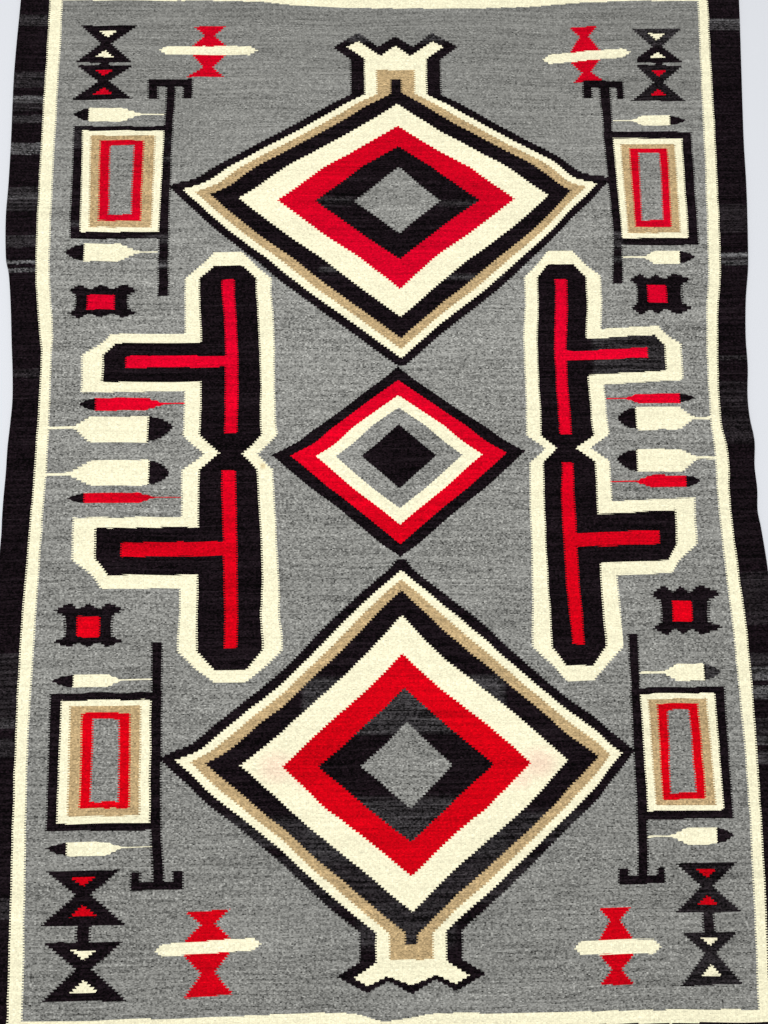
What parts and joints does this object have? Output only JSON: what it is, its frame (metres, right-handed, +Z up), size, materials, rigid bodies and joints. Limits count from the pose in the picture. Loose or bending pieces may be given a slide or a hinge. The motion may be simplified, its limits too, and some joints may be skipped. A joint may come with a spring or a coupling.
{
  "type": "woven wool rug",
  "caption": "Flat tapestry-woven wool rug with four bound edges, uneven long sides, a faint lengthwise crease and a bordered geometric pattern.",
  "frame": {"origin": "centre of the rug's bounding box, on the floor that it lies on", "axes": "+X across the rug to the right as the picture shows it, +Y along its length to the picture's upper end, +Z up from the floor"},
  "size_m": [1.3782, 1.9517, 0.0054],
  "materials": {
    "wool_weave": "matt hand-spun wool, tightly beaten plain tapestry weave"
  },
  "bodies": {
    "root": {"rug": "wool_weave"}
  },
  "joints": []
}
